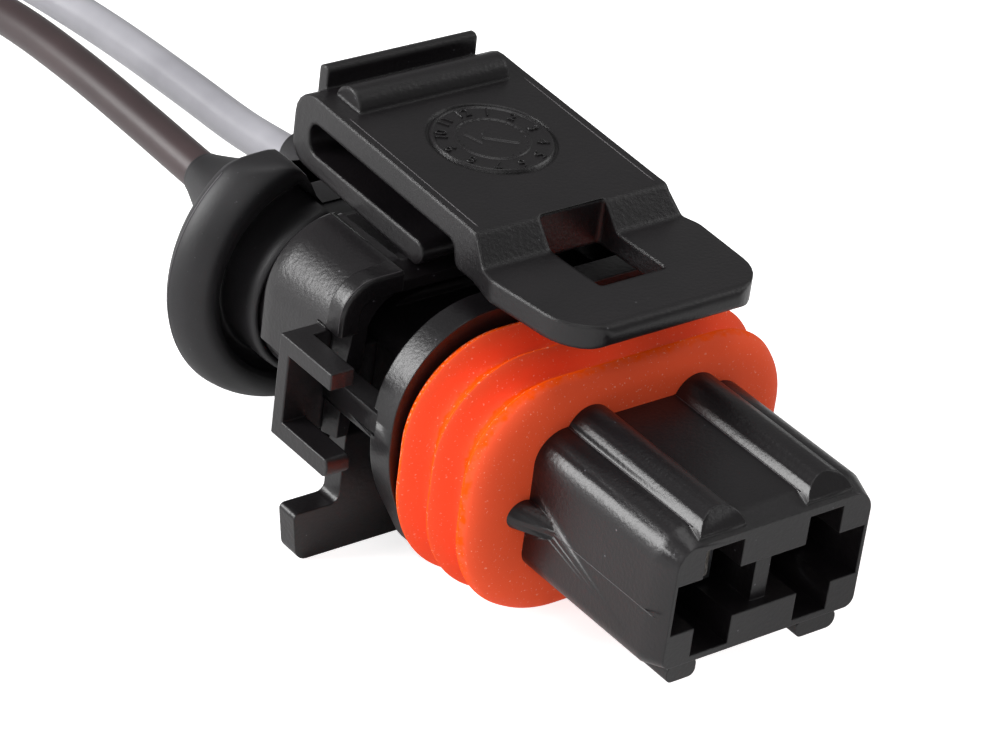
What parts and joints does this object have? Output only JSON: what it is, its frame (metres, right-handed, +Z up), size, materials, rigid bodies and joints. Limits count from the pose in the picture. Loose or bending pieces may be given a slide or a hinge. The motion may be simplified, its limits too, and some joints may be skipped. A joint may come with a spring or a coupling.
{
  "type": "sealed lead connector",
  "caption": "Sealed oval socket connector with a sprung top latch, ridged face seal, side-slide secondary lock, rubber rear boot and insulated leads.",
  "frame": {"origin": "centre of the connector's footprint, on the plane it stands on, leads not counted", "axes": "-Y is the direction in which the nose plugs in, +Y towards the leads, +Z up towards the latch, +X across the contact row"},
  "size_m": [0.0418, 0.1201, 0.0228],
  "materials": {
    "housing_black": "satin black moulded PBT",
    "lock_black": "satin black moulded PBT",
    "seal_orange": "orange silicone rubber",
    "boot_rubber": "black EPDM rubber",
    "contact_copper": "tinned copper alloy",
    "spring_steel": "stainless spring steel",
    "strand_copper": "bare stranded copper",
    "lead_brown": "brown PVC insulation",
    "lead_grey": "grey PVC insulation"
  },
  "bodies": {
    "connector": {"housing": "housing_black", "interface_seal": "seal_orange", "rear_boot": "boot_rubber", "contact_left": "contact_copper", "contact_right": "contact_copper", "contact_spring_left": "spring_steel", "contact_spring_right": "spring_steel", "wire_seal_left": "seal_orange", "wire_seal_right": "seal_orange", "conductor_left": "strand_copper", "conductor_right": "strand_copper", "wire_brown": "lead_brown", "wire_grey": "lead_grey", "coil_brown": "lead_brown", "coil_grey": "lead_grey", "tip_brown": "strand_copper", "tip_grey": "strand_copper", "coil_tie": "lock_black"},
    "latch": {"latch": "housing_black"},
    "secondary_lock": {"secondary_lock": "lock_black"}
  },
  "joints": [
    {"name": "latch_press", "type": "hinge", "parent": "connector", "child": "latch", "pos_m": [0, -0.00005, 0.01742], "axis": [-1, 0, 0], "range_deg": [0, 5], "stiffness_Nm_per_rad": 0.02},
    {"name": "lock_slide", "type": "slide", "parent": "connector", "child": "secondary_lock", "axis": [-1, 0, 0], "range_m": [0, 0.0022]}
  ]
}
